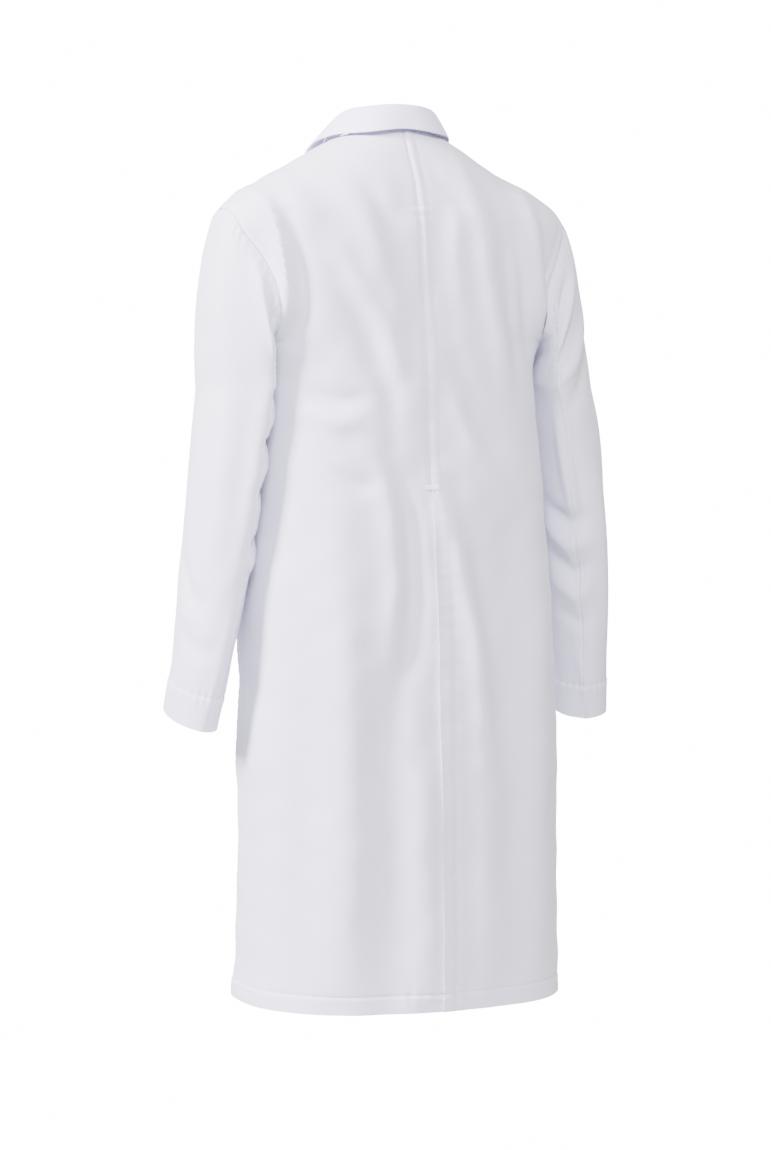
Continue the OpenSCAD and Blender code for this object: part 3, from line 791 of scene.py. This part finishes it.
left_back = half_back("left_back", False)
right_back = half_back("right_back", True)
left_front = half_front("left_front", False)
right_front = half_front("right_front", True)
left_upper = sleeve_part("left_upper_sleeve_cloth", FRONT_SEAM_PHI - 360, BACK_SEAM_PHI, False)
left_under = sleeve_part("left_under_sleeve_cloth", BACK_SEAM_PHI, FRONT_SEAM_PHI, False)
right_upper = sleeve_part("right_upper_sleeve_cloth", FRONT_SEAM_PHI - 360, BACK_SEAM_PHI, True)
right_under = sleeve_part("right_under_sleeve_cloth", BACK_SEAM_PHI, FRONT_SEAM_PHI, True)


# ---- inner pieces of the body -----------------------------------------------------------------

def body_patch(name, q, drop, off, material, mirror=False, lining=None, flip=None, thickness=CLOTH):
    """A piece of cloth laid on the body surface at a distance from it."""
    side = -1 if mirror else 1
    p = body(q * side, drop, off)
    return cloth(name, p, material, thickness=thickness, flip=mirror if flip is None else flip, lining=lining)


def front_off(q, drop, over):
    high = np.clip((UNDERARM - drop) / 60, 0, 1)
    return lap_shift(q, over) * (1 - high)


def front_facing(name, mirror):
    rows = ROWS[(ROWS > NECK_SIDE_DROP + 4) & (ROWS < LENGTH - 2)]
    row, u = np.meshgrid(rows, np.linspace(0, 1, 12), indexing="ij")
    inner = 180 - q_at(55 + 45 * smooth((UNDERARM - row) / 200), row)
    inner = np.minimum(inner, front_edge_q(row) - 4)
    q = inner + (front_edge_q(row) - 0.3 - inner) * u
    return body_patch(name, q, row, front_off(q, row, mirror) - 1.0, SHADED_INNER, mirror)


def hem_turning(name, from_q, to_q, mirror, front):
    rows = np.linspace(LENGTH - HEM, LENGTH - 0.6, 6)
    row, q = np.meshgrid(rows, np.linspace(from_q, to_q, 60), indexing="ij")
    off = front_off(q, row, mirror) if front else 0.7 * smooth((40 - q_width(q, row)) / 20) * (1 if mirror else -1)
    return body_patch(name, q, row, off - 0.85, SHADED_INNER, mirror)


def vent_underlay():
    """The left back's extension, hidden below the right back's fold."""
    row, u = np.meshgrid(ROWS[ROWS > VENT_DROP + 2], np.linspace(0, 1, 14), indexing="ij")
    q = q_at(UNDERLAY * u, row)
    return body_patch("vent_underlay_cloth", q, row, -1.1 - 0.5 * u, SHADED_INNER, True)


def vent_facing():
    """The right back's own turning inside the vent's fold."""
    row, u = np.meshgrid(ROWS[ROWS > VENT_DROP + 2], np.linspace(0, 1, 10), indexing="ij")
    return body_patch("vent_facing", q_at(18 * u, row), row, 0.7 - 0.9 + 0 * u, SHADED_INNER, True)


def neck_facing():
    v, q = np.meshgrid(np.linspace(0, 1, 14), np.linspace(-86, 86, 90), indexing="ij")
    top = NECK_SIDE_DROP * (np.abs(q) / 90) ** 2 + 0.5
    drop = top + (64 - top) * v
    return cloth("neck_facing", body(q, drop, -1.1), SHADED_INNER)


def patch_pocket(name, x0, x1, top, height, mirror):
    u, v = np.meshgrid(np.linspace(0, 1, 34), np.linspace(0, 1, 44), indexing="ij")
    inset = 7 * np.clip((v - 0.93) / 0.07, 0, 1) ** 2
    x = x0 + inset + (x1 - x0 - 2 * inset) * u
    drop = top + height * v
    q = 180 - q_at(x, drop)
    edge = np.minimum(np.minimum(u, 1 - u) * 2, 1 - v)
    lift = 0.8 + 3.4 * smooth(edge / 0.5) * (1 - 0.35 * v)
    lift += 0.5 * smooth((26 - (drop - top)) / 1.5) - 0.4 * gauss(drop - top - 26, 1.5)
    return body_patch(name, q, drop, front_off(q, drop, mirror) + lift, OUTER, mirror, SHADED_INNER, flip=not mirror)


front_facings = [front_facing("left_facing", False), front_facing("right_facing", True)]
underlay = vent_underlay()
vent_turning = vent_facing()
yoke_facing = neck_facing()
chest_pocket = patch_pocket("chest_pocket_cloth", 52, 142, 264, 124, False)
left_pocket = patch_pocket("left_pocket_cloth", 42, 152, 560, 200, False)
right_pocket = patch_pocket("right_pocket_cloth", 42, 152, 560, 200, True)
left_back_turning = hem_turning("left_back_hem_cloth", 0.5, 89.5, False, False)
right_back_turning = hem_turning("right_back_hem_cloth", 0.5, 89.5, True, False)
left_front_turning = hem_turning("left_front_hem_cloth", 90.5, 183, False, True)
right_front_turning = hem_turning("right_front_hem_cloth", 90.5, 183, True, True)


def cuff_turning(name, mirror):
    t, phi = np.meshgrid(2 - np.linspace(CUFF_HEM, 0.6, 8) / 380, np.linspace(0, 359.9, 150), indexing="ij")
    return cloth(name, sleeve(phi, t, -0.85, not mirror), SHADED_INNER, flip=not mirror)


left_cuff = cuff_turning("left_cuff_turning", False)
right_cuff = cuff_turning("right_cuff_turning", True)


# ---- collar -----------------------------------------------------------------------------------

NECK_SEAM = [[0, 49, 0], [38, 38, -3], [65, 4, -11], [71, -34, -36], [65, -66, -70]]
ROLL_LINE = [[0, 47, 25], [34, 37, 23], [57, 2, 17], [64, -38, -12], [64, -76, -58]]
FALL_EDGE = [[0, 63, -4], [43, 56, -8], [75, 8, -10], [86, -44, -27], [80, -98, -86]]


def both_sides(t, points):
    points = np.asarray(points, float)
    whole = np.concatenate([points[:0:-1] * [-1, 1, 1], points])
    return spline(whole, (t + 1) / 2)


def stand_form(t, v, off):
    p = both_sides(t, NECK_SEAM) * (1 - v[..., None]) + both_sides(t, ROLL_LINE) * v[..., None]
    outward = unit(np.stack([p[..., 0], p[..., 1] + 10, 0 * t], -1))
    bulge = 2.0 * np.sin(np.pi * v)
    return p + (off + bulge)[..., None] * outward


def fall_form(t, v, off):
    top, low = both_sides(t, ROLL_LINE), both_sides(t, FALL_EDGE)
    out = unit(np.stack([top[..., 0], top[..., 1] + 10, 0 * t], -1))
    up = np.array([0, 0, 1.0])
    m0 = (low - top) * 0.5 + up * 13 + out * 3
    m1 = (low - top) * 1.1 - up * 10
    p = hermite(top, m0, low, m1, v[..., None])
    lift = off + 0.4 * np.sin(t * 9 + 1) * v
    return p + lift[..., None] * unit(out + up * 0.6)


t_collar, v_collar = np.meshgrid(np.linspace(-1, 1, 181), np.linspace(0, 1, 22), indexing="ij")
collar_fall = cloth("collar_fall_cloth", fall_form(t_collar, v_collar, 1.0 + 0 * t_collar), OUTER,
                    thickness=1.3)
t_stand, v_stand = np.meshgrid(np.linspace(-0.86, 0.86, 150), np.linspace(0, 1, 12), indexing="ij")
collar_stand = cloth("collar_stand_cloth", stand_form(t_stand, v_stand, 0 * t_stand), SHADED_INNER,
                     thickness=1.2, flip=True)


def lapel_width(drop):
    notch = 44 + 26 * (drop - 100) / 14
    return np.where(drop < 114, notch, 70 * np.clip((UNDERARM - drop) / 136, 0, 1) ** 0.9)


def lapel(name, mirror):
    rows = spread(92.0, 248.0, 3.0)
    row, u = np.meshgrid(rows, np.linspace(0, 1, 24), indexing="ij")
    x = roll_x(row) - 0.5 + u * lapel_width(row)
    q = 180 - q_at(x, row)
    high = np.clip((UNDERARM - row) / 60, 0, 1)
    off = lap_shift(q, mirror) * (1 - high) + 0.3 + 4.5 * np.sqrt(np.clip(u, 0, 1)) * (1 - 0.75 * u)
    return body_patch(name, q, row, off, OUTER, mirror, OUTER, flip=not mirror, thickness=1.1)


left_lapel = lapel("left_lapel_cloth", False)
right_lapel = lapel("right_lapel_cloth", True)


# ---- snaps, loop, label -----------------------------------------------------------------------

def lathe(name, profile, centres, normals, material, sides=36):
    """Round pieces: the profile's radii and heights turned about each centre's normal."""
    verts, faces = [], []
    rings = len(profile)
    for n, (centre, normal) in enumerate(zip(centres, normals)):
        axis = unit(np.asarray(normal, float))
        side = unit(np.cross(axis, [0, 0, 1.0]))
        other = np.cross(axis, side)
        angle = np.arange(sides) * 2 * math.pi / sides
        round_ = np.cos(angle)[:, None] * side + np.sin(angle)[:, None] * other
        for radius, height in profile:
            verts.append(centre + axis * height + round_ * max(radius, 0.02))
        base = n * rings * sides
        for r in range(rings - 1):
            for k in range(sides):
                a, b = base + r * sides + k, base + r * sides + (k + 1) % sides
                faces.append([a, b, b + sides, a + sides])
    return mesh_object(name, np.concatenate(verts), np.array(faces), material, sharp=40)


CAP = [(0, 0), (5.2, 0), (6.0, 0.35), (6.0, 0.9), (5.5, 1.3), (4.7, 1.35), (4.3, 1.1), (3.9, 1.15), (2.0, 1.5),
       (0, 1.6)]
SOCKET = [(1.7, 0.6), (1.7, 0), (4.6, 0), (5.0, 0.2), (5.0, 0.6), (4.4, 0.8), (2.2, 0.8), (1.7, 0.6)]
STUD = [(0, 0), (5.0, 0), (5.0, 0.3), (2.2, 0.45), (1.5, 0.6), (1.6, 1.1), (1.2, 1.35), (0, 1.4)]
POST = [(0, 0), (4.5, 0), (4.6, 0.4), (4.1, 0.8), (1.6, 0.9), (0, 0.8)]
SNAP_PARTS = {
    "snap_caps": (CAP, True, CLOTH / 2 + 0.1, 1),
    "snap_sockets": (SOCKET, True, -CLOTH / 2 - 1.1, -1),
    "snap_studs": (STUD, False, CLOTH / 2 + 0.05, 1),
    "snap_posts": (POST, False, -CLOTH / 2 - 1.1, -1),
}


def snaps(group, drops):
    made = {}
    d = np.array(drops, float)
    q = np.full(d.shape, 180.0)
    normals = body_normal(q, d)
    for part, (profile, over, off, way) in SNAP_PARTS.items():
        centres = body(q, d, off + (1.3 if over else -1.3))
        made[part] = lathe(group + "_" + part + "_moulded", profile, centres, normals * way, SNAP)
    return made


chest_snaps = snaps("chest", [262, 366])
skirt_snaps = snaps("skirt", [470, 574, 678, 782])


def tape_loop():
    """Woven tape in a U, both ends sewn at the nape."""
    points = [(-27, 46, -2), (-27, 43.5, -9), (-26.5, 42.6, -22), (-22, 42.4, -31), (-12, 42.3, -35), (0, 42.3, -36),
              (12, 42.3, -35), (22, 42.4, -31), (26.5, 42.6, -22), (27, 43.5, -9), (27, 46, -2)]
    line = spline(points, np.linspace(0, 1, 90))
    ahead = unit(np.gradient(line, axis=0))
    side = unit(np.cross(ahead, np.array([0, 1.0, 0])))
    across = np.linspace(-3, 3, 6)
    return cloth("loop_tape", line[:, None] + across[None, :, None] * side[:, None], TAPE, thickness=1.0)


def label():
    z, y = np.meshgrid(np.linspace(-636, -689, 20), np.linspace(-11, 17, 10), indexing="ij")
    x = 176.4 - 1.2 * np.sin((z + 636) / 20) * (1 - (y + 11) / 60)
    return cloth("label_ribbon", np.stack([x, y, z], -1), LABEL, thickness=0.4)


loop_tape = tape_loop()
label_ribbon = label()


# ---- stitches ---------------------------------------------------------------------------------

def body_row(q, drop, off=CLOTH / 2):
    q, drop = np.broadcast_arrays(np.asarray(q, float), np.asarray(drop, float))
    return body(q, drop, off), body_normal(q, np.maximum(drop, 3))


def line(a, b, step=2.0):
    return np.linspace(a, b, max(int(abs(b - a) / step), 8))


def sleeve_row(phi, t, left):
    phi, t = np.broadcast_arrays(np.asarray(phi, float), np.asarray(t, float))
    p = sleeve(phi, t, CLOTH / 2, left)
    return p, unit(sleeve(phi, t, CLOTH / 2 + 1, left) - p)


high_rows = line(6, VENT_DROP)
low_rows = line(VENT_DROP, LENGTH - 1)
hem_q = np.linspace(0.6, 89.6, 260)
side_rows = line(UNDERARM + 4, LENGTH - 1)
armhole_phi = np.linspace(8, 172, 160)
armhole_q, armhole_drop = armhole(armhole_phi)


def vent_lift(q, drop, right):
    amount = 0.7 * smooth((drop - VENT_DROP + 12) / 20) * smooth((40 - q_width(q, drop)) / 20)
    return CLOTH / 2 + amount * (1 if right else -1)


def vent_row(x, drop, right):
    q = q_at(x + 0 * drop, drop)
    return body_row(-q if right else q, drop, vent_lift(q, drop, right))


def hem_row(right):
    q = hem_q * (-1 if right else 1)
    return body_row(q, LENGTH - HEM + 0 * q, vent_lift(hem_q, LENGTH - HEM, right))


left_back_stitches = stitch_rows("left_back_stitches", [hem_row(False), body_row(89.0, side_rows)])
right_back_stitches = stitch_rows("right_back_stitches", [
    body_row(-q_at(1.6 + 0 * high_rows, high_rows), high_rows),
    body_row(-q_at(8.8 + 0 * high_rows, high_rows), high_rows),
    vent_row(16.5, low_rows, True), hem_row(True), body_row(-89.0, side_rows)])


def front_row(q, drop, mirror, extra=0.0):
    q, drop = np.broadcast_arrays(np.asarray(q, float), np.asarray(drop, float))
    return body_row(q * (-1 if mirror else 1), drop, CLOTH / 2 + front_off(q, drop, mirror) + extra)


def pocket_rows(x0, x1, top, height, mirror):
    rows = []
    for inset in (1.5, 7.5):
        down = top + line(3, height - inset)
        bottom = line(x0 + inset + 7, x1 - inset - 7)
        left_x, right_x = x0 + inset + 0 * down, x1 - inset + 0 * down
        for x, drop in ((left_x, down), (right_x, down), (bottom, top + height - inset + 0 * bottom)):
            edge = min(inset / 45, 0.5)
            lift = 0.9 + 3.4 * smooth(edge / 0.25 * (1 if inset < 2 else 1)) * 0.35
            rows.append(front_row(180 - q_at(x, drop), drop, mirror, lift))
    mouth = line(x0 + 2, x1 - 2)
    u = (mouth - x0) / (x1 - x0)
    lift = 0.8 + 3.4 * smooth(np.minimum(np.minimum(u, 1 - u) * 2, 1) / 0.5) * (1 - 0.35 * 26 / height)
    rows.append(front_row(180 - q_at(mouth, top + 26 + 0 * mouth), top + 26 + 0 * mouth, mirror, lift))
    return rows


def front_stitches(name, mirror, pockets):
    edge_rows = line(UNDERARM + 4, LENGTH - 1)
    hem_line_q = np.linspace(90.5, 183, 260)
    rows = [front_row(front_edge_q(edge_rows) - 2.6, edge_rows, mirror),
            front_row(hem_line_q, LENGTH - HEM, mirror)]
    for x0, x1, top, height in pockets:
        rows += pocket_rows(x0, x1, top, height, mirror)
    return stitch_rows(name, rows)


LOWER_POCKET = (42, 152, 560, 200)
left_front_stitches = front_stitches("left_front_stitches", False, [LOWER_POCKET])
right_front_stitches = front_stitches("right_front_stitches", True, [LOWER_POCKET])
chest_pocket_stitches = stitch_rows("chest_pocket_stitches", pocket_rows(52, 142, 264, 124, False))


def sleeve_stitches(name, left):
    t = np.concatenate([np.linspace(0.06, 1, 100), np.linspace(1.005, 2, 190)])
    around_cuff = np.linspace(0, 360, 170)
    rows = [sleeve_row(BACK_SEAM_PHI - 1.6, t, left), sleeve_row(BACK_SEAM_PHI - 8.0, t, left),
            sleeve_row(FRONT_SEAM_PHI + 1.6, t, left), sleeve_row(FRONT_SEAM_PHI + 8.0, t, left),
            sleeve_row(around_cuff, 2 - CUFF_HEM / 380, left)]
    return stitch_rows(name, rows)


left_sleeve_stitches = sleeve_stitches("left_sleeve_stitches", True)
right_sleeve_stitches = sleeve_stitches("right_sleeve_stitches", False)

t_line = np.linspace(-0.97, 0.97, 260)
fall_lift = 1.0 + 0.65 + 0 * t_line
edge_line = fall_form(t_line, 0.86 + 0 * t_line, fall_lift)
edge_normal = unit(fall_form(t_line, 0.86 + 0 * t_line, fall_lift + 1) - edge_line)
collar_stitches = stitch_rows("collar_stitches", [(edge_line, edge_normal)])
shoulder_rows = line(NECK_SIDE_DROP + 10, TIP_DROP - 1, 1.5)
armhole_front = armhole_q > 90
body_stitch_rows = [body_row(88.0, shoulder_rows), body_row(-88.0, shoulder_rows)]
for sign in (1, -1):
    inside = np.where(armhole_front, armhole_q + 2.2, armhole_q - 2.2)
    body_stitch_rows.append(body_row(sign * inside[2:-2], armhole_drop[2:-2]))
body_stitches = stitch_rows("body_stitches", body_stitch_rows)


def lapel_stitches(name, mirror):
    row = line(118.0, 244.0)
    x = roll_x(row) + lapel_width(row) - 6
    u = np.clip((x - roll_x(row)) / np.maximum(lapel_width(row), 1), 0.05, 1)
    high = np.clip((UNDERARM - row) / 60, 0, 1)
    q = 180 - q_at(np.maximum(x, roll_x(row) + 2), row)
    off = lap_shift(q, mirror) * (1 - high) + 0.3 + 4.5 * np.sqrt(u) * (1 - 0.75 * u) + 0.55
    return stitch_rows(name, [body_row(q * (-1 if mirror else 1), row, off)])


left_lapel_stitches = lapel_stitches("left_lapel_stitches", False)
right_lapel_stitches = lapel_stitches("right_lapel_stitches", True)


def bar_tack():
    x = np.linspace(-7, 7, 15)
    rows = []
    for k in x:
        d = np.array([VENT_DROP - 9.0, VENT_DROP - 6.0, VENT_DROP - 3.0])
        q = np.sign(k) * q_at(abs(k) + 0 * d, d)
        rows.append(body_row(q, d, CLOTH / 2 + 0.9))
    return stitch_rows("vent_tack", rows, pitch=6.0, long=6.2, wide=0.9)


vent_tack = bar_tack()


# ---- placement: baked transforms and attachment -----------------------------------------------

def move_sleeve(pieces):
    for piece in pieces:
        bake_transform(piece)


def move_front(pieces):
    """Bakes each front piece's transform into its mesh; nothing is turned."""
    for piece in pieces:
        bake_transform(piece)


def move_vent(pieces):
    fold_top = np.array([0, 0, -VENT_DROP * MM])
    fold_low = np.array([-VENT_FLAP * MM, 0, -LENGTH * MM])
    fold = (fold_low - fold_top) / np.linalg.norm(fold_low - fold_top)
    way = np.array([-fold[2], 0, fold[0]])
    way = way if way[0] > 0 else -way
    for piece in pieces:
        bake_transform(piece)


LEFT_SLEEVE_PIECES = [left_upper, left_under, left_cuff, left_sleeve_stitches]
RIGHT_SLEEVE_PIECES = [right_upper, right_under, right_cuff, right_sleeve_stitches]
LEFT_FRONT_PIECES = [left_front, front_facings[0], left_pocket, left_front_turning, left_front_stitches,
                     chest_snaps["snap_studs"], chest_snaps["snap_posts"], skirt_snaps["snap_studs"],
                     skirt_snaps["snap_posts"], chest_pocket, chest_pocket_stitches]
RIGHT_FRONT_PIECES = [right_front, front_facings[1], right_pocket, right_front_turning, right_front_stitches,
                      chest_snaps["snap_caps"], chest_snaps["snap_sockets"], skirt_snaps["snap_caps"],
                      skirt_snaps["snap_sockets"]]
VENT_PIECES = [right_back, vent_turning, right_back_turning, right_back_stitches]
ROOT_PIECES = [left_back, underlay, yoke_facing, left_back_turning, left_back_stitches, collar_fall, collar_stand,
               collar_stitches, body_stitches, left_lapel, right_lapel, left_lapel_stitches,
               right_lapel_stitches, vent_tack, label_ribbon]

move_sleeve(LEFT_SLEEVE_PIECES)
move_sleeve(RIGHT_SLEEVE_PIECES)
move_front(LEFT_FRONT_PIECES)
move_front(RIGHT_FRONT_PIECES)
move_vent(VENT_PIECES)
for piece in ROOT_PIECES:
    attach(piece, "root")
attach(loop_tape, "loop")


# ---- what each piece stands for ---------------------------------------------------------------

STANDS_FOR = [
    (left_back, ["left_back_panel"]),
    (right_back, ["right_back_panel", "vent_flap"]),
    (underlay, ["vent_underlay"]),
    (vent_tack, ["vent_bar_tack"]),
    (left_front, ["left_front_chest", "left_front_side", "left_front_skirt"]),
    (right_front, ["right_front_chest", "right_front_side", "right_front_skirt"]),
    (left_upper, ["left_upper_sleeve"]),
    (left_under, ["left_under_sleeve"]),
    (right_upper, ["right_upper_sleeve"]),
    (right_under, ["right_under_sleeve"]),
    (left_cuff, ["left_cuff_hem"]),
    (right_cuff, ["right_cuff_hem"]),
    (collar_stand, ["collar_stand"]),
    (collar_fall, ["collar_fall"]),
    (left_lapel, ["left_lapel"]),
    (right_lapel, ["right_lapel"]),
    (front_facings[0], ["left_chest_facing", "left_skirt_facing"]),
    (front_facings[1], ["right_chest_facing", "right_skirt_facing"]),
    (yoke_facing, ["back_neck_facing"]),
    (chest_pocket, ["chest_pocket"]),
    (left_pocket, ["left_lower_pocket"]),
    (right_pocket, ["right_lower_pocket"]),
    (left_back_turning, ["left_back_hem"]),
    (right_back_turning, ["right_back_hem", "vent_hem"]),
    (left_front_turning, ["left_skirt_hem"]),
    (right_front_turning, ["right_skirt_hem"]),
    (loop_tape, ["hang_loop"]),
    (label_ribbon, ["care_label"]),
]
for group, made in (("chest_", chest_snaps), ("skirt_", skirt_snaps)):
    STANDS_FOR += [(made[part], [group + part]) for part in SNAP_PARTS]

for piece, nodes in STANDS_FOR:
    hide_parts(*nodes)
